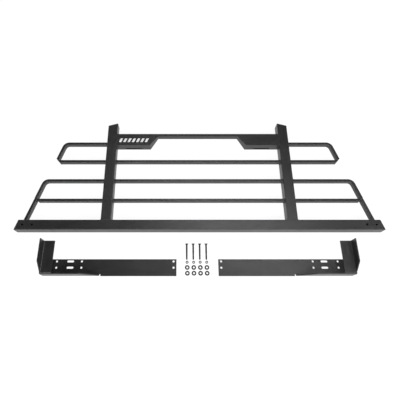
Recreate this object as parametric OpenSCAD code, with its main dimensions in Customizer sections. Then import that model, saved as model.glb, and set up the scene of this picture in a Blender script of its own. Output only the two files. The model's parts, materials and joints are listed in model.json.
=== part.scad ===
// Headache rack kit for a pickup truck, laid out on the floor: a welded tube rack lying on its
// back, a left and a right bed bracket, and the bolts, nuts and washers that join them.
// X runs across the truck, +Y points to the top of the rack and +Z is up from the floor.
// The origin is on the floor in the middle of the whole layout. Sizes are in millimetres.

/* [Main tubes] */
// Overall width of the base rail
rack_w = 1778; // [1700:1:1820]
// Height of the rack, from the underside of the base rail to the tips of the uprights
rack_h = 593; // [580:1:640]
// Outside size of the square main tubes
beam = 50.8; // [45:0.1:55]
// Wall of the main tubes
beam_wall = 2.0; // [1.5:0.1:3]
// Outside corner radius of the main tubes
beam_r = 4; // [3.5:0.5:6]
// Distance between the inner faces of the two uprights
upright_gap = 853.2; // [800:0.1:880]
// Slope of the uprights' tops, in degrees
top_slope = 16; // [0:1:25]
// Lean of the wing tubes and of the base rail's ends, in degrees from upright
lean = 17.96; // [12:0.01:22]
// Thickness of the plates that close the main tubes
cap_t = 2.5; // [2:0.5:4]

/* [Rails and wings] */
// Width of the small tubes, in the plane of the rack
rail_w = 15.9; // [14:0.1:20]
// Depth of the small tubes, from the rack's back to its front
rail_h = 25.4; // [19:0.1:30]
// Wall of the small tubes
rail_wall = 1.5; // [1:0.1:2]
// Outside corner radius of the small tubes
rail_r = 4; // [2.5:0.5:6]
// Height of the lower rails' middle above the underside of the base rail
lower_rail_y = 157; // [140:0.5:170]
// Height of the middle rails' middle
middle_rail_y = 263.5; // [250:0.5:280]
// Height of the upper rails' middle
upper_rail_y = 372.5; // [360:0.5:390]
// Height of the middle of the upper wings' top tube
wing_top_y = 477; // [465:0.5:490]
// Half width of the upper wings at their foot, before the corner is cut off
upper_foot_x = 744.5; // [700:0.5:760]
// Half width of the lower wings at their foot, before the corner is cut off
lower_foot_x = 825; // [800:0.5:840]
// Radius of the wings' bends, at the middle of the tube
bend_r = 28; // [20:1:40]
// How far the cut lies from the wings' sharp corner
corner_cut = 21.5; // [12:0.5:22]
// Direction that the cut faces, in degrees below the horizontal
corner_dir = 42; // [36:1:50]
// How far the lower struts stand inside the line of the lower wings
strut_inset = 1; // [0.5:0.5:6]

/* [Header] */
// Height of the header's top edge above the underside of the base rail
header_top_y = 527.5; // [515:0.5:540]
// Height of the header's bottom edge beside the uprights
header_wing_y = 460; // [450:0.5:480]
// Height of the header's bottom edge in the middle
header_mid_y = 512.5; // [500:0.5:518]
// Half width of the header's deep cut-out at the bottom
header_low_x = 251.5; // [240:0.5:300]
// Half width of the header's cut-out at the top
header_high_x = 210; // [200:0.5:230]
// Sheet thickness of the header
header_t = 2.5; // [2:0.5:4]
// Depth of the fold under each light mount
header_wing_depth = 48; // [40:1:50]
// Depth of the folds along the middle of the header
header_mid_depth = 27; // [20:1:35]
// Width of the lip that turns back inwards at the bottom of each light mount's fold
header_lip = 12; // [8:1:16]
// Length of the light mount slots
light_slot_l = 88; // [60:1:100]
// Width of the light mount slots
light_slot_w = 8.5; // [6:0.5:11]
// Height of the light mount slots' middle above the floor
light_slot_z = 15; // [12:0.5:20]
// Distance from the rack's middle to the middle of a light mount slot
light_slot_x = 338; // [325:1:350]

/* [Brackets] */
// Length of a bracket's long plate
plate_l = 623.5; // [600:0.5:660]
// Width of the long plate
plate_w = 79; // [75:1:90]
// Sheet thickness of the brackets
sheet = 5; // [4:0.5:6]
// Inside bend radius of the brackets
sheet_bend_r = 4; // [3:0.5:6]
// Height of the bracket's top shelf above the floor
shelf_z = 62; // [50:1:70]
// Width of the shelf
shelf_w = 54.5; // [50:0.5:60]
// Length of the shelf
shelf_l = 155; // [130:1:160]
// Height of the outer wall's top edge above the floor
wall_z = 107; // [90:1:115]
// Length of the slope at the near end of the outer wall
wall_slope_l = 50; // [35:1:60]
// Length of the upright flange along the long plate's edge
flange_l = 262; // [240:1:280]
// Length over which the flange slopes down to nothing
flange_slope_l = 85; // [60:1:110]
// Distance from the outer end of the plate to the first, second and last pair of holes
plate_hole_x = [56, 174.3, 609.7];
// Distance from the outer end of the plate to the middle of the slots
plate_slot_x = 121; // [110:1:125]
// Distance from the plate's bolt-side edge to the nearer row of holes
plate_row_y = 39.2; // [34:0.1:42]
// Distance between the two rows of holes
row_gap = 29.6; // [26:0.1:32]
// End-to-end length of the adjustment slots
plate_slot_l = 33; // [25:1:36]

/* [Hardware] */
// Diameter of the bolt holes and width of the adjustment slots
hole_d = 10.3; // [9:0.1:11]
// Distance between the two bolt holes at each end of the base rail
rail_hole_gap = 46; // [40:0.5:50]
// Distance from the rack's middle to the outer bolt hole
rail_hole_x = 851; // [845:0.5:852]
// Diameter of the bolts
bolt_d = 7.94; // [7.94:0.01:8]
// Overall length of the bolts
bolt_l = 76.2; // [70:0.1:90]
// Diameter of the bolt heads
head_d = 15.9; // [14:0.1:17]
// Height of the bolt heads
head_h = 5.5; // [4:0.1:6]
// Length of the bolt's threaded end, which is turned down to the bottom of the thread
thread_l = 30; // [20:1:40]
// Diameter at the bottom of the thread
thread_root_d = 6.6; // [6.4:0.1:6.9]
// Height of the straight rim around a bolt's head
head_rim = 0.8; // [0.5:0.1:1.5]
// Width of the hexagon socket across its corners
socket_d = 5.5; // [4.5:0.1:6]
// Depth of the hexagon socket
socket_h = 3.2; // [2.5:0.1:3.5]
// Width of a nut across its flats
nut_w = 12.7; // [12.5:0.1:13]
// Height of a nut
nut_h = 6.75; // [6:0.05:8]
// Bevel on a nut's corners
nut_bevel = 0.8; // [0.5:0.1:1]
// How much each nut is turned against the one before it, in degrees
nut_turn = 17; // [0:1:59]
// Outside diameter of the washers
washer_d = 22.2; // [20:0.1:24]
// Hole in the washers
washer_hole_d = 9.5; // [8.5:0.1:10]
// Thickness of the washers
washer_t = 2.1; // [1.5:0.1:2.5]

/* [Layout] */
// Clear floor between the long plates' near edge and the base rail
rack_gap = 211.7; // [190:0.1:230]
// Distance between the inner ends of the two brackets
bracket_gap = 198; // [180:1:230]
// How far the brackets lie to the left of the rack's middle
bracket_shift = 11; // [0:0.5:15]
// Distance between neighbouring bolts
bolt_gap = 31; // [28:0.5:35]
// Where the row of bolts has its middle
bolt_row_x = -14.5; // [-25:1:10]
// Distance from the layout's near edge to the bolts' tips
bolt_tip_y = 77.5; // [70:0.5:90]
// Distance from the layout's near edge to the middle of the nuts, then of each row of washers
small_row_y = [65, 40.5, 13.5];
// How far the nuts, then each row of washers, lie to the right of their bolts
small_row_x = [1.5, 2, 2.5];

/* [Hidden] */
$fn = 64;
CUT = 400; // larger than anything that a slanted cut has to remove
EPS = 1; // how far a drill or a cut runs past a face
TURN = 180; // turns a slanted cut to face the other way

POWDER_COAT = [0.13, 0.13, 0.135];
BLACK_ZINC = [0.1, 0.1, 0.1];
DARK_ZINC = [0.3, 0.3, 0.3];

LEFT = -1;
RIGHT = 1;
layout_depth = rack_gap + rack_h;
near_y = -layout_depth / 2;
rack_y = near_y + rack_gap;
upright_in = upright_gap / 2;
upright_out = upright_in + beam;
rail_z = (beam - rail_h) / 2;
mitre = 135 + lean / 2;
upper_foot = [upper_foot_x, upper_rail_y - rail_w / 2];
lower_foot = [lower_foot_x, lower_rail_y - rail_w / 2];
sheet_outer_r = sheet_bend_r + sheet;
bolt_tilt = atan((head_d - bolt_d) / 2 / bolt_l);

// ---- Shapes that repeat ----

module rounded_rect(size, r) {
    translate([r, 0]) square([size.x - 2 * r, size.y]);
    translate([0, r]) square([size.x, size.y - 2 * r]);
    for (x = [r, size.x - r], y = [r, size.y - r]) translate([x, y]) circle(r);
}

// The cross-section of a tube, with its corner on the origin
module tube_profile(size, wall, r) {
    difference() {
        rounded_rect(size, r);
        translate([wall, wall]) rounded_rect([size.x - 2 * wall, size.y - 2 * wall], r - wall);
    }
}

// A flat slot with round ends, centred on the origin and cut through the height h
module slot(length, width, h) {
    linear_extrude(h) {
        square([length - width, width], center = true);
        for (end = [-1, 1]) translate([end * (length - width) / 2, 0]) circle(d = width);
    }
}

// Lays a profile along +X, with the profile's own axes on Y and Z
module along_x(length) {
    rotate([90, 0, 90]) linear_extrude(length) children();
}

// Lays a profile along +Y, with the profile's own axes on X and Z
module along_y(length) {
    translate([0, length, 0]) rotate([90, 0, 0]) linear_extrude(length) children();
}

// Everything beyond a line in the XY plane through the point p, on the side that dir points to
module beyond(p, dir) {
    translate([p.x, p.y, -EPS]) rotate(dir) translate([0, -CUT, 0])
        cube([CUT, 2 * CUT, beam + 2 * EPS]);
}

// Moves the rack's own frame, with Y from the underside of the base rail, into the layout
module rack_place(side = RIGHT) {
    translate([0, rack_y, 0]) mirror([side == LEFT ? 1 : 0, 0, 0]) children();
}

// ---- Base rail and uprights ----

// The slanted line across the base rail's right end, set back by the inset
module rail_end(inset, dir) {
    beyond([rack_w / 2 - inset / cos(lean), 0], dir);
}

module base_rail() {
    color(POWDER_COAT) rack_place() difference() {
        translate([-rack_w / 2, 0, 0]) along_x(rack_w) tube_profile([beam, beam], beam_wall, beam_r);
        rail_end(cap_t, lean);
        mirror([1, 0, 0]) rail_end(cap_t, lean);
        for (side = [LEFT, RIGHT], hole = [0, 1])
            translate([side * (rail_hole_x - hole * rail_hole_gap), beam / 2, -EPS])
                cylinder(d = hole_d, h = beam + 2 * EPS);
    }
}

module base_rail_cap(side) {
    color(POWDER_COAT) rack_place(side) difference() {
        translate([rack_w / 2 - beam, 0, 0]) along_x(beam) rounded_rect([beam, beam], beam_r);
        rail_end(0, lean);
        rail_end(cap_t, lean + TURN);
    }
}

// The slanted line along an upright's top, lowered by the inset
module upright_top(inset, dir) {
    beyond([upright_in, rack_h - inset / cos(top_slope)], dir);
}

module upright(side) {
    color(POWDER_COAT) rack_place(side) difference() {
        translate([upright_in, beam, 0])
            along_y(rack_h - beam) tube_profile([beam, beam], beam_wall, beam_r);
        upright_top(cap_t, 90 - top_slope);
    }
}

module upright_cap(side) {
    color(POWDER_COAT) rack_place(side) difference() {
        translate([upright_in, rack_h - beam, 0]) along_y(beam) rounded_rect([beam, beam], beam_r);
        upright_top(0, 90 - top_slope);
        upright_top(cap_t, 90 - top_slope + TURN);
    }
}

// ---- Rails and wings ----

module small_tube() {
    tube_profile([rail_w, rail_h], rail_wall, rail_r);
}

module center_rail(y) {
    color(POWDER_COAT) rack_place() translate([-upright_in, y - rail_w / 2, rail_z])
        along_x(upright_gap) small_tube();
}

// A wing's foot is the sharp corner between its leaning tube's outer edge and its rail's
// lower edge, before the corner is cut off. This is X of the outer edge at a height y.
function edge_x(foot, y) = foot.x - (y - foot.y) * tan(lean);

// The cut across a wing's corner, set back towards the wing by the inset
module corner_line(foot, inset, dir) {
    depth = corner_cut + inset;
    beyond([foot.x - depth * cos(corner_dir), foot.y + depth * sin(corner_dir)], dir);
}

// A quarter of a ring whose ends are trimmed to the straight tube and to the leaning one
module wing_bend() {
    difference() {
        rotate_extrude() translate([bend_r - rail_w / 2, 0]) small_tube();
        translate([-CUT, -CUT, -EPS]) cube([CUT, 2 * CUT, beam]);
        rotate(lean) translate([-CUT, -CUT, -EPS]) cube([2 * CUT, CUT, beam]);
    }
}

// A tube that runs out from the upright, bends and leans down to the wing's corner
module wing_tube(side, top_y, foot) {
    bend_y = top_y - bend_r;
    bend_x = edge_x(foot, bend_y) - (bend_r + rail_w / 2) / cos(lean);
    leg_l = (bend_y - foot.y) / cos(lean) + bend_r * tan(lean);
    bar_l = bend_x - upright_out;
    color(POWDER_COAT) rack_place(side) difference() {
        translate([bend_x, bend_y, rail_z]) {
            translate([-bar_l, bend_r - rail_w / 2, 0]) along_x(bar_l) small_tube();
            wing_bend();
            rotate(lean) translate([bend_r - rail_w / 2, -leg_l, 0])
                along_y(leg_l) small_tube();
        }
        intersection() {
            beyond(foot, mitre + 90);
            beyond([foot.x - beam, foot.y], 0);
        }
        corner_line(foot, cap_t, -corner_dir);
    }
}

// The side rail between the upright and the wing's corner
module wing_rail(side, foot) {
    color(POWDER_COAT) rack_place(side) difference() {
        translate([upright_out, foot.y, rail_z]) along_x(foot.x - upright_out) small_tube();
        beyond(foot, mitre - 90);
        corner_line(foot, cap_t, -corner_dir);
    }
}

// The plate that closes the cut-off corner, seated between its two mitred tubes' outer faces
module wing_corner(side, foot) {
    depth = corner_cut + cap_t / 2;
    below = depth * tan(corner_dir);
    above = depth * tan(90 - lean - corner_dir);
    color(POWDER_COAT) rack_place(side) translate([foot.x, foot.y, rail_z]) rotate(-corner_dir)
        translate([-corner_cut - cap_t, -below, 0]) along_x(cap_t)
            rounded_rect([above + below, rail_h], rail_r);
}

// The strut between the lower wing's corner and the base rail
module wing_strut(side, foot) {
    color(POWDER_COAT) rack_place(side) difference() {
        translate([edge_x(foot, beam) - strut_inset, beam, rail_z]) rotate(lean)
            translate([-rail_w, -rail_w, 0]) along_y(foot.y + 2 * rail_w) small_tube();
        corner_line(foot, 0, -corner_dir + TURN);
        beyond([foot.x, beam], -90);
    }
}

// ---- Header ----

// The header's outline, drawn in by the inset and with its ends at X = end to both sides
function header_outline(inset, end) =
    let (slope = (header_low_x - header_high_x) / (header_mid_y - header_wing_y),
         corner = inset * (sqrt(1 + slope * slope) - slope),
         low = header_low_x + corner, high = header_high_x + corner,
         top_y = header_top_y - inset, wing_y = header_wing_y + inset, mid_y = header_mid_y + inset)
    [[-end, top_y], [end, top_y], [end, wing_y], [low, wing_y],
     [high, mid_y], [-high, mid_y], [-low, wing_y], [-end, wing_y]];

// The folds' lower edges: deep beside the uprights, shallow in the middle and slanted between
module below_folds() {
    translate([-upright_in - EPS, 0, 0]) along_x(2 * (upright_in + EPS)) polygon([
        [header_wing_y - EPS, -EPS], [header_wing_y - EPS, beam - header_wing_depth],
        [header_wing_y + header_t, beam - header_wing_depth],
        [header_mid_y, beam - header_mid_depth], [header_top_y + EPS, beam - header_mid_depth],
        [header_top_y + EPS, -EPS]
    ]);
}

module header_panel() {
    lip_x = header_low_x + header_lip;
    color(POWDER_COAT) rack_place() difference() {
        union() {
            difference() {
                linear_extrude(beam) polygon(header_outline(0, upright_in));
                translate([0, 0, -EPS]) linear_extrude(beam - header_t + EPS)
                    polygon(header_outline(header_t, upright_in + EPS));
                below_folds();
            }
            for (side = [0, 1]) mirror([side, 0, 0])
                translate([lip_x, header_wing_y + header_t / 2, beam - header_wing_depth])
                    cube([upright_in - lip_x, header_lip - header_t / 2, header_t]);
        }
        for (side = [LEFT, RIGHT])
            translate([side * light_slot_x, header_wing_y + header_t + EPS, light_slot_z])
                rotate([90, 0, 0]) slot(light_slot_l, light_slot_w, header_t + 2 * EPS);
    }
}

// ---- Brackets ----

// A quarter of a bend's ring, lying along +X, that runs from the angle start for 90 degrees
module bend_along_x(length, start) {
    along_x(length) intersection() {
        difference() {
            circle(sheet_outer_r);
            circle(sheet_bend_r);
        }
        rotate(start) square(2 * sheet_outer_r);
    }
}

// The left bracket, with its outer end at X = 0 and its upright flange's face at Y = 0
module bracket_sheet() {
    far = flange_l - flange_slope_l;
    flat_z = shelf_z - sheet_outer_r;
    translate([0, sheet_outer_r, 0]) cube([plate_l, plate_w - sheet_outer_r, sheet]);
    translate([flange_l + sheet, 0, 0]) cube([plate_l - flange_l - sheet, plate_w, sheet]);
    intersection() {
        union() {
            translate([0, sheet_outer_r, sheet_outer_r]) bend_along_x(flange_l, 180);
            translate([0, 0, sheet_outer_r]) cube([flange_l, sheet, flat_z - sheet_outer_r]);
            translate([shelf_w, 0, flat_z]) cube([flange_l, sheet, sheet_outer_r]);
            translate([0, sheet_outer_r, flat_z]) bend_along_x(shelf_w, 90);
        }
        translate([0, sheet_outer_r, 0]) rotate([90, 0, 0]) linear_extrude(sheet_outer_r)
            polygon([[0, 0], [flange_l, 0], [flange_l, sheet], [far, shelf_z], [0, shelf_z]]);
    }
    translate([sheet_outer_r, sheet_outer_r, shelf_z - sheet])
        cube([shelf_w - sheet_outer_r, shelf_l - sheet_outer_r, sheet]);
    intersection() {
        union() {
            translate([sheet_outer_r, shelf_l, shelf_z + sheet_bend_r]) rotate(-90)
                bend_along_x(shelf_l - sheet_outer_r, 180);
            translate([0, 0, shelf_z + sheet_bend_r]) cube([sheet, shelf_l, wall_z]);
        }
        along_x(sheet_outer_r) polygon([
            [sheet_outer_r, shelf_z - sheet], [sheet_outer_r, shelf_z],
            [wall_slope_l, wall_z], [shelf_l, wall_z], [shelf_l, shelf_z - sheet]
        ]);
    }
}

module bracket(side) {
    outer_x = side * (bracket_gap / 2 + plate_l) - bracket_shift;
    color(POWDER_COAT) translate([outer_x, near_y, 0])
        mirror([side == RIGHT ? 1 : 0, 0, 0]) difference() {
            bracket_sheet();
            for (row = [0, 1]) translate([0, plate_row_y + row * row_gap, -EPS]) {
                for (x = plate_hole_x) translate([x, 0, 0])
                    cylinder(d = hole_d, h = sheet + 2 * EPS);
                translate([plate_slot_x, 0, 0]) slot(plate_slot_l, hole_d, sheet + 2 * EPS);
            }
        }
}

// ---- Hardware ----

function column_x(i) = bolt_row_x + (i - 1.5) * bolt_gap;

// A countersunk bolt that lies on the rim of its head and its tip
module bolt(i) {
    color(BLACK_ZINC) translate([column_x(i), near_y + bolt_tip_y, 0])
        rotate([bolt_tilt, 0, 0]) translate([0, 0, bolt_d / 2])
            rotate([-90, 0, 0]) difference() {
                union() {
                    cylinder(d1 = thread_root_d - 1, d2 = thread_root_d, h = 1);
                    translate([0, 0, 1]) cylinder(d = thread_root_d, h = thread_l - 1);
                    translate([0, 0, thread_l]) cylinder(d = bolt_d, h = bolt_l - thread_l);
                    translate([0, 0, bolt_l - head_h])
                        cylinder(d1 = bolt_d, d2 = head_d, h = head_h - head_rim);
                    translate([0, 0, bolt_l - head_rim]) cylinder(d = head_d, h = head_rim);
                }
                translate([0, 0, bolt_l - socket_h]) cylinder(d = socket_d, h = head_h, $fn = 6);
            }
}

module nut(i) {
    color(DARK_ZINC) translate([column_x(i) + small_row_x[0], near_y + small_row_y[0], 0])
        rotate(i * nut_turn)
        difference() {
            intersection() {
                cylinder(d = nut_w / cos(30), h = nut_h, $fn = 6);
                rotate_extrude() polygon([
                    [0, 0], [nut_w / 2 - nut_bevel, 0], [nut_w / 2 + nut_bevel, nut_bevel],
                    [nut_w / 2 + nut_bevel, nut_h - nut_bevel], [nut_w / 2 - nut_bevel, nut_h],
                    [0, nut_h]
                ]);
            }
            translate([0, 0, -EPS]) cylinder(d = thread_root_d, h = nut_h + 2 * EPS);
        }
}

module washer(i) {
    column = i % 4;
    row = 1 + floor(i / 4);
    color(DARK_ZINC)
        translate([column_x(column) + small_row_x[row], near_y + small_row_y[row], 0])
        difference() {
            cylinder(d = washer_d, h = washer_t);
            translate([0, 0, -EPS]) cylinder(d = washer_hole_d, h = washer_t + 2 * EPS);
        }
}

base_rail();
base_rail_cap(LEFT);  // base_rail_cap_left
base_rail_cap(RIGHT);  // base_rail_cap_right
upright(LEFT);  // upright_left
upright(RIGHT);  // upright_right
upright_cap(LEFT);  // upright_cap_left
upright_cap(RIGHT);  // upright_cap_right
header_panel();
center_rail(upper_rail_y);  // center_rail_upper
center_rail(middle_rail_y);  // center_rail_middle
center_rail(lower_rail_y);  // center_rail_lower
wing_tube(LEFT, wing_top_y, upper_foot);  // upper_wing_tube_left
wing_tube(RIGHT, wing_top_y, upper_foot);  // upper_wing_tube_right
wing_rail(LEFT, upper_foot);  // upper_wing_rail_left
wing_rail(RIGHT, upper_foot);  // upper_wing_rail_right
wing_corner(LEFT, upper_foot);  // upper_wing_corner_left
wing_corner(RIGHT, upper_foot);  // upper_wing_corner_right
wing_tube(LEFT, middle_rail_y, lower_foot);  // lower_wing_tube_left
wing_tube(RIGHT, middle_rail_y, lower_foot);  // lower_wing_tube_right
wing_rail(LEFT, lower_foot);  // lower_wing_rail_left
wing_rail(RIGHT, lower_foot);  // lower_wing_rail_right
wing_corner(LEFT, lower_foot);  // lower_wing_corner_left
wing_corner(RIGHT, lower_foot);  // lower_wing_corner_right
wing_strut(LEFT, lower_foot);  // lower_wing_strut_left
wing_strut(RIGHT, lower_foot);  // lower_wing_strut_right
bracket(LEFT);  // bracket_left
bracket(RIGHT);  // bracket_right
bolt(0);  // bolt_1
bolt(1);  // bolt_2
bolt(2);  // bolt_3
bolt(3);  // bolt_4
nut(0);  // nut_1
nut(1);  // nut_2
nut(2);  // nut_3
nut(3);  // nut_4
washer(0);  // washer_1
washer(1);  // washer_2
washer(2);  // washer_3
washer(3);  // washer_4
washer(4);  // washer_5
washer(5);  // washer_6
washer(6);  // washer_7
washer(7);  // washer_8
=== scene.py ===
import bpy
import bmesh
import json
import math
import random
from mathutils import Matrix, Vector


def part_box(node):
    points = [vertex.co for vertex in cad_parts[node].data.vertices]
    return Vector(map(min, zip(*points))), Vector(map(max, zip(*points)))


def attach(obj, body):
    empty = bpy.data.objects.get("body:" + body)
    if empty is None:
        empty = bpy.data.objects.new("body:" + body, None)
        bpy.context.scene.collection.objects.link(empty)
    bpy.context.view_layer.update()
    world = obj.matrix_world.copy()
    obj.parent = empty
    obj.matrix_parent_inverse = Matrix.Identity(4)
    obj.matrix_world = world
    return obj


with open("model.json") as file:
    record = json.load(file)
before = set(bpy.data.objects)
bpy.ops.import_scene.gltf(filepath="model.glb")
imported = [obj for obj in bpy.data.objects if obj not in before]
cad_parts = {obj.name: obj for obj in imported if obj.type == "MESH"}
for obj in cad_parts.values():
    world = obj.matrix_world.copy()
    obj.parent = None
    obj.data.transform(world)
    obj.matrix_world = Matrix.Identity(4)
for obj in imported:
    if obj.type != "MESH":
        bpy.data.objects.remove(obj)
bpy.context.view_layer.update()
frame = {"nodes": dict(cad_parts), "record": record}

NODES = frame["nodes"]
MM = 0.001


# ---------------------------------------------------------------- materials

def fill_ramp(ramp, stops):
    """Gives a colour ramp node its stops, each a position and a colour."""
    points = ramp.color_ramp.elements
    while len(points) < len(stops):
        points.new(0.5)
    for p, (where, colour) in zip(points, stops):
        p.position = where
        p.color = (*colour, 1.0)


class Shader:
    """A material's node tree, with short ways to add and link nodes."""

    def __init__(self, name):
        self.mat = bpy.data.materials.new(name)
        self.mat.use_nodes = True
        self.tree = self.mat.node_tree
        self.bsdf = self.tree.nodes["Principled BSDF"]
        self.coord = self.node("ShaderNodeTexCoord").outputs["Object"]

    def node(self, kind, **inputs):
        n = self.tree.nodes.new(kind)
        for key, value in inputs.items():
            n.inputs[key].default_value = value
        return n

    def link(self, a, b):
        self.tree.links.new(a, b)

    def noise(self, scale, detail=2.0, rough=0.5, distortion=0.0):
        n = self.node("ShaderNodeTexNoise", Scale=scale, Detail=detail, Roughness=rough,
                      Distortion=distortion)
        self.link(self.coord, n.inputs["Vector"])
        return n.outputs["Fac"]

    def ramp(self, value, stops):
        n = self.node("ShaderNodeValToRGB")
        fill_ramp(n, stops)
        self.link(value, n.inputs["Fac"])
        return n.outputs["Color"]

    def span(self, value, low, high, start=0.3, end=0.7):
        n = self.node("ShaderNodeMapRange")
        for key, v in (("From Min", start), ("From Max", end), ("To Min", low), ("To Max", high)):
            n.inputs[key].default_value = v
        self.link(value, n.inputs["Value"])
        return n.outputs["Result"]

    def bump(self, height, strength, distance, under=None):
        n = self.node("ShaderNodeBump", Strength=strength, Distance=distance)
        self.link(height, n.inputs["Height"])
        if under is not None:
            self.link(under, n.inputs["Normal"])
        return n.outputs["Normal"]


def powder_coat(name, dark, light, rough=(0.34, 0.42), grain=1.0):
    """Satin black powder coat: an orange-peel skin, a fine grit and a soft change of depth."""
    s = Shader(name)
    patches = s.noise(9.0, 3.0, 0.6)
    s.link(s.ramp(patches, [(0.3, dark), (0.7, light)]), s.bsdf.inputs["Base Color"])
    s.link(s.span(s.noise(38.0, 4.0, 0.6), *rough), s.bsdf.inputs["Roughness"])
    peel = s.bump(s.noise(420.0, 2.0, 0.5), 0.22 * grain, 0.0006)
    grit = s.bump(s.noise(1500.0, 2.0, 0.6), 0.3 * grain, 0.00022, peel)
    s.link(grit, s.bsdf.inputs["Normal"])
    s.bsdf.inputs["IOR"].default_value = 1.5
    return s.mat


def plated_steel(name, dark, light, rough, metallic, shine, tint_and_sheen_cloud=160.0):
    """Dark plated or blackened steel: a cloudy tint with fine turning marks. Large clouds give each
    piece a tone of its own, which on the washers is partly a painted sheen.
    """
    s = Shader(name)
    s.link(s.ramp(s.noise(tint_and_sheen_cloud, 4.0, 0.65, 0.4), [(0.32, dark), (0.68, light)]),
           s.bsdf.inputs["Base Color"])
    s.link(s.span(s.noise(420.0, 3.0), *rough), s.bsdf.inputs["Roughness"])
    s.link(s.bump(s.noise(2600.0, 3.0, 0.6), 0.25, 0.0001), s.bsdf.inputs["Normal"])
    s.bsdf.inputs["Metallic"].default_value = metallic
    s.bsdf.inputs["Specular IOR Level"].default_value = shine
    return s.mat


COAT_DARK, COAT_LIGHT = (0.007, 0.007, 0.0072), (0.012, 0.012, 0.0124)
COAT = powder_coat("powder_coat_black", COAT_DARK, COAT_LIGHT)
WELD = powder_coat("powder_coat_on_weld", COAT_DARK, COAT_LIGHT, rough=(0.32, 0.42), grain=0.7)
BOLT = plated_steel("black_oxide", (0.004, 0.004, 0.0042), (0.009, 0.009, 0.0095),
                    rough=(0.45, 0.6), metallic=0.0, shine=0.25)
NUT = plated_steel("dark_zinc_nut", (0.02, 0.02, 0.021), (0.045, 0.045, 0.047),
                   rough=(0.4, 0.55), metallic=0.3, shine=0.3)
# The washers' tint changes in large clouds, so each washer comes out lighter or darker. This is partly
# a random tone of the plating and partly a painted sheen, standing in for highlights that differ from
# washer to washer.
WASHER_WITH_PAINTED_SHEEN = plated_steel("dark_zinc_washer_painted_sheen", (0.004, 0.004, 0.0042), (0.035, 0.035, 0.0365),
                      rough=(0.45, 0.6), metallic=0.2, shine=0.3, tint_and_sheen_cloud=22.0)
PAINT = Shader("white_decal")
PAINT_CLOUDS = [(0.3, (0.50, 0.50, 0.495)), (0.7, (0.60, 0.60, 0.60))]
PAINT.link(PAINT.ramp(PAINT.noise(900.0, 3.0), PAINT_CLOUDS), PAINT.bsdf.inputs["Base Color"])
PAINT.link(PAINT.span(PAINT.noise(700.0, 2.0), 0.42, 0.55), PAINT.bsdf.inputs["Roughness"])

SLOT_MATERIAL = {"powder_coat": COAT, "bolt_steel": BOLT, "nut_steel": NUT, "washer_steel": WASHER_WITH_PAINTED_SHEEN}
SLOT_OF = {s["node"]: s["material_slot"] for s in frame["record"]["subparts"]}
for name, obj in NODES.items():
    material = SLOT_MATERIAL[SLOT_OF[name]]
    for slot in obj.material_slots:
        slot.material = material


# ---------------------------------------------------------------- places, from the CAD

RAIL_CORNER = 4 * MM  # corner radius of the small tubes
BEAM_CORNER = 4 * MM  # corner radius of the main tubes
STRIP_FOLD = 27 * MM  # depth of the header's far fold
X, Y, Z = Vector((1, 0, 0)), Vector((0, 1, 0)), Vector((0, 0, 1))
ON_FACE = 0.3 * MM  # how near to its end face a vertex has to be to lie on it

base_lo, base_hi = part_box("base_rail")
head_lo, head_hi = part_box("header_panel")
rack_y = base_lo.y
beam = base_hi.z
upright_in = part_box("upright_right")[0].x


def end_face(node, normal, across):
    """Middle, width and height of the face that ends a node in the direction of normal."""
    mesh = NODES[node].data
    spots = [v.co for v in mesh.vertices]
    far = max(p.dot(normal) for p in spots)
    face = [p for p in spots if p.dot(normal) > far - ON_FACE]
    wide = [p.dot(across) for p in face]
    tall = [p.z for p in face]
    middle = normal * far + across * (min(wide) + max(wide)) / 2 + Z * (min(tall) + max(tall)) / 2
    return middle, max(wide) - min(wide), max(tall) - min(tall)


# ---------------------------------------------------------------- weld beads

STEP = 0.7 * MM  # distance between a bead's rings
SIDES = 8
ENDS = 0.25  # how much of a bead's section is left at its very ends
RIPPLE = (0.90, 1.0, 1.07, 1.03)  # one ripple of the bead, ring by ring
chance = random.Random(11)


def rounded_path(width, height, radius):
    """The points round a rectangle with round corners, about the origin."""
    points = []
    for k in range(4):
        cx = (width / 2 - radius) * (1 if k in (0, 3) else -1)
        cy = (height / 2 - radius) * (1 if k < 2 else -1)
        for i in range(7):
            a = math.radians(90 * k + 15 * i)
            points.append((cx + radius * math.cos(a), cy + radius * math.sin(a)))
    return points


def resample(points, closed):
    """Spaces the points evenly along their path, about a STEP apart."""
    path = points + points[:1] if closed else points
    lengths = [(b - a).length for a, b in zip(path, path[1:])]
    total = sum(lengths)
    count = max(4, round(total / STEP))
    out, k, gone = [], 0, 0.0
    for i in range(count if closed else count + 1):
        want = min(total * i / count, total * 0.999999)
        while gone + lengths[k] < want:
            gone += lengths[k]
            k += 1
        out.append(path[k].lerp(path[k + 1], (want - gone) / lengths[k]))
    return out


def weld_bead(name, points, up, radius, closed=False):
    """A rippled bead along the points; up is square to the plane that they lie in."""
    spots = resample(points, closed)
    n = len(spots)
    bm = bmesh.new()
    rings = []
    for i, p in enumerate(spots):
        before = spots[i - 1] if closed or i else p
        after = spots[(i + 1) % n] if closed or i < n - 1 else p
        side = (after - before).normalized().cross(up)
        r = radius * RIPPLE[i % len(RIPPLE)] * chance.uniform(0.95, 1.05)
        if not closed:
            left = min(i, n - 1 - i) * STEP
            r *= math.sqrt(min(1.0, ENDS + left / radius))
        p = p + side * chance.uniform(-0.06, 0.06) * radius
        ring = []
        for j in range(SIDES):
            a = math.tau * j / SIDES
            ring.append(bm.verts.new(p + (side * math.cos(a) + up * math.sin(a)) * r))
        rings.append(ring)
    pairs = list(zip(rings, rings[1:] + rings[:1])) if closed else list(zip(rings, rings[1:]))
    for a, b in pairs:
        for j in range(SIDES):
            k = (j + 1) % SIDES
            bm.faces.new((a[j], a[k], b[k], b[j]))
    if not closed:
        bm.faces.new(rings[0][::-1])
        bm.faces.new(rings[-1])
    bmesh.ops.recalc_face_normals(bm, faces=bm.faces)
    for f in bm.faces:
        f.smooth = len(f.verts) == 4
    return new_piece(name, bm, "rack", WELD)


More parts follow.
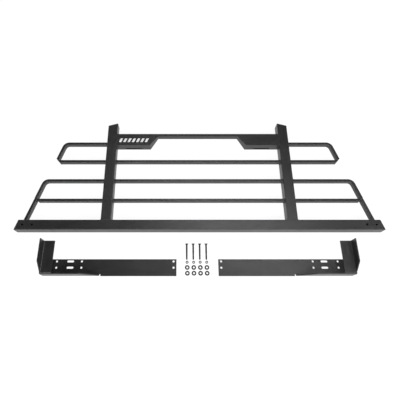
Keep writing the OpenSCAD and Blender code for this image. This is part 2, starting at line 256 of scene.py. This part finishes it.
def new_piece(name, bm, body, material):
    mesh = bpy.data.meshes.new(name)
    bm.to_mesh(mesh)
    bm.free()
    piece = bpy.data.objects.new(name, mesh)
    bpy.context.scene.collection.objects.link(piece)
    mesh.materials.append(material)
    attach(piece, body)
    return piece


def weld_round(name, node, normal, across, corner, radius):
    """A bead all round the end of a tube."""
    middle, wide, tall = end_face(node, normal, across)
    loop = [middle + across * u + Z * v for u, v in rounded_path(wide, tall, corner)]
    weld_bead(name, loop, normal, radius, closed=True)


SIDE = {"left": -X, "right": X}
SMALL_BEAD = 2.1 * MM
BIG_BEAD = 2.4 * MM
SEAM_BEAD = 1.1 * MM
FOOT_SINK, HEADER_SINK = 1.6 * MM, 1.9 * MM  # how far a bead sinks where it turns a tube's corner
FLOOR_GAP = 2.5 * MM  # height at which the beads at the uprights' feet start
CUT = math.radians(42)  # direction that the wings' corner plates face, below the horizontal

for rail in ("upper", "middle", "lower"):
    for side, out in SIDE.items():
        weld_round(f"weld_center_rail_{rail}_{side}", f"center_rail_{rail}", out, Y, RAIL_CORNER,
                   SMALL_BEAD)

for wing in ("upper", "lower"):
    for side, out in SIDE.items():
        for piece in ("tube", "rail"):
            weld_round(f"weld_{wing}_wing_{piece}_{side}", f"{wing}_wing_{piece}_{side}", -out, Y,
                       RAIL_CORNER, SMALL_BEAD)
        facing = out * math.cos(CUT) - Y * math.sin(CUT)
        along = out * math.sin(CUT) + Y * math.cos(CUT)
        weld_round(f"weld_{wing}_wing_corner_{side}", f"{wing}_wing_corner_{side}", -facing, along,
                   RAIL_CORNER, SEAM_BEAD)

for side, out in SIDE.items():
    weld_round(f"weld_strut_foot_{side}", f"lower_wing_strut_{side}", -Y, X, RAIL_CORNER, SMALL_BEAD)

    # The uprights lie on the floor, so the bead goes up, across and down again
    middle, wide, tall = end_face(f"upright_{side}", -Y, X)
    flank, high = wide / 2, beam - FOOT_SINK
    foot = [Vector((middle.x + x, middle.y, z)) for x, z in
            ((-flank, FLOOR_GAP), (-flank, beam - BEAM_CORNER), (-flank + FOOT_SINK, high),
             (flank - FOOT_SINK, high), (flank, beam - BEAM_CORNER), (flank, FLOOR_GAP))]
    weld_bead(f"weld_upright_foot_{side}", foot, Y, BIG_BEAD)

    # The header's bead runs up its far fold, over the seam and down its near fold
    seam_x = out.x * upright_in
    high = beam - HEADER_SINK
    seam = [Vector((seam_x, y, z)) for y, z in
            ((head_hi.y, beam - STRIP_FOLD), (head_hi.y, high), (head_lo.y, high),
             (head_lo.y, head_lo.z + SMALL_BEAD))]
    weld_bead(f"weld_header_{side}", seam, X, SMALL_BEAD)


# ---------------------------------------------------------------- bolt threads

PITCH = 25.4 / 18 * MM
BOLT_R, ROOT_R = 7.94 / 2 * MM, 6.6 / 2 * MM
HEAD_R = 15.9 / 2 * MM
BOLT_L = 76.2 * MM
THREAD_L = 30 * MM
THREAD_STEPS = 24  # steps to one turn of the thread
TIP_BEVEL = 0.5 * MM  # how much narrower the bolt's tip is, on each side
VALLEY_R = ROOT_R - 0.1 * MM  # the ridge's foot lies just under the turned-down end


def bolt_thread(number):
    """A ridge that winds round the turned-down end of a bolt."""
    lo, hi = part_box(f"bolt_{number}")
    tilt = math.atan((HEAD_R - BOLT_R) / BOLT_L)
    tip_y = lo.y + (BOLT_R + ROOT_R - TIP_BEVEL) * math.sin(tilt)
    place = (Matrix.Translation(((lo.x + hi.x) / 2, tip_y, 0)) @ Matrix.Rotation(tilt, 4, "X")
             @ Matrix.Translation((0, 0, BOLT_R)) @ Matrix.Rotation(-math.pi / 2, 4, "X"))
    profile = ((-0.46, VALLEY_R), (-0.06, BOLT_R), (0.06, BOLT_R), (0.46, VALLEY_R))
    turns = (THREAD_L - 2.2 * PITCH) / PITCH
    count = int(turns * THREAD_STEPS)
    bm = bmesh.new()
    rows = []
    for i in range(count + 1):
        a = math.tau * i / THREAD_STEPS
        fade = min(1.0, i / THREAD_STEPS, (count - i) / THREAD_STEPS * 2)
        z = (1.1 + i / THREAD_STEPS) * PITCH
        row = []
        for dz, r in profile:
            high = VALLEY_R + (r - VALLEY_R) * max(fade, 0.05)
            row.append(bm.verts.new(place @ Vector((high * math.cos(a), high * math.sin(a),
                                                    z + dz * PITCH))))
        rows.append(row)
    for a, b in zip(rows, rows[1:]):
        for j in range(len(profile)):
            k = (j + 1) % len(profile)
            bm.faces.new((a[j], b[j], b[k], a[k]))
    bm.faces.new(rows[0])
    bm.faces.new(rows[-1][::-1])
    bmesh.ops.recalc_face_normals(bm, faces=bm.faces)
    new_piece(f"thread_{number}", bm, f"bolt_{number}", BOLT)


for number in range(1, 5):
    bolt_thread(number)


# ---------------------------------------------------------------- a plain decal on the header

DECAL_T = 0.25 * MM
DECAL_X = (-415.5 * MM, -248 * MM)
DECAL_Y = (rack_y + 478 * MM, rack_y + 500.5 * MM)
DECAL_BARS = 7
DECAL_SLANT = 9 * MM
DECAL_FILL = 0.55  # a bar's width, as a share of the distance between bars
DECAL_CORNER = 2.2 * MM


def decal_bar(index):
    """One white bar that leans over, with small round corners."""
    pitch = (DECAL_X[1] - DECAL_X[0] - DECAL_SLANT) / DECAL_BARS
    width = pitch * DECAL_FILL
    x0 = DECAL_X[0] + index * pitch
    height = DECAL_Y[1] - DECAL_Y[0]
    bm = bmesh.new()
    outline = rounded_path(width, height, DECAL_CORNER)
    top, bottom = [], []
    for u, v in outline:
        x = x0 + width / 2 + u + (v / height + 0.5) * DECAL_SLANT
        y = (DECAL_Y[0] + DECAL_Y[1]) / 2 + v
        top.append(bm.verts.new((x, y, beam + DECAL_T)))
        bottom.append(bm.verts.new((x, y, beam - DECAL_T)))
    bm.faces.new(top)
    bm.faces.new(bottom[::-1])
    for j in range(len(outline)):
        k = (j + 1) % len(outline)
        bm.faces.new((top[k], top[j], bottom[j], bottom[k]))
    bmesh.ops.recalc_face_normals(bm, faces=bm.faces)
    new_piece(f"decal_bar_{index + 1}", bm, "rack", PAINT.mat)


for index in range(DECAL_BARS):
    decal_bar(index)


# ---------------------------------------------------------------- floor, light and camera

def glowing_white(name, white, glow):
    """A lit white table: it gives most of its light itself, so shadows on it stay faint."""
    s = Shader(name)
    s.bsdf.inputs["Base Color"].default_value = (white, white, white, 1)
    s.bsdf.inputs["Roughness"].default_value = 0.9
    s.bsdf.inputs["Specular IOR Level"].default_value = 0.0
    s.bsdf.inputs["Emission Color"].default_value = (1, 1, 1, 1)
    s.bsdf.inputs["Emission Strength"].default_value = glow
    return s.mat


bpy.ops.mesh.primitive_plane_add(size=16, location=(0, 0, -0.0004))
floor = bpy.context.object
floor.name = "studio_floor"
floor.data.materials.append(glowing_white("white_floor", 0.10, 0.93))

def studio_world(stops):
    """Pale walls all round and a dim ceiling: the brightness depends on the height above the floor."""
    world = bpy.data.worlds.new("studio")
    bpy.context.scene.world = world
    world.use_nodes = True
    nodes, links = world.node_tree.nodes, world.node_tree.links
    height = nodes.new("ShaderNodeSeparateXYZ")
    links.new(nodes.new("ShaderNodeTexCoord").outputs["Generated"], height.inputs["Vector"])
    ramp = nodes.new("ShaderNodeValToRGB")
    fill_ramp(ramp, [(where, (grey, grey, grey)) for where, grey in stops])
    links.new(height.outputs["Z"], ramp.inputs["Fac"])
    links.new(ramp.outputs["Color"], nodes["Background"].inputs["Color"])
    nodes["Background"].inputs["Strength"].default_value = 1.0


studio_world([(0.0, 0.86), (0.3, 0.72), (0.5, 0.09), (0.8, 0.06)])


def softbox(name, where, target, size, power):
    light = bpy.data.lights.new(name, "AREA")
    light.shape = "RECTANGLE"
    light.size, light.size_y = size
    light.energy = power
    lamp = bpy.data.objects.new(name, light)
    bpy.context.scene.collection.objects.link(lamp)
    lamp.location = where
    lamp.rotation_euler = (Vector(target) - Vector(where)).to_track_quat("-Z", "Y").to_euler()
    return lamp


softbox("front_softbox", (0.0, -3.3, 2.7), (0, 0, 0), (4.5, 2.0), 230)
softbox("left_softbox", (-3.8, -0.5, 1.9), (0, 0, 0), (2.4, 1.6), 50)
softbox("right_softbox", (3.8, -0.5, 1.9), (0, 0, 0), (2.4, 1.6), 105)
softbox("top_softbox", (0.56, 0.70, 3.0), (0.05, -0.1, 0), (2.5, 0.5), 35)

bpy.context.scene.view_settings.view_transform = "Standard"

CAMERA_PITCH = 68.6  # degrees below the horizon
cam = bpy.data.cameras.new("camera")
cam.sensor_width = 36
cam.lens = 32.29
cam.shift_x, cam.shift_y = 0.0472, -0.00375
camera = bpy.data.objects.new("camera", cam)
bpy.context.scene.collection.objects.link(camera)
camera.location = (-0.088, rack_y - 0.4864, 1.699)
camera.rotation_euler = (math.radians(90 - CAMERA_PITCH), 0, 0)
bpy.context.scene.camera = camera
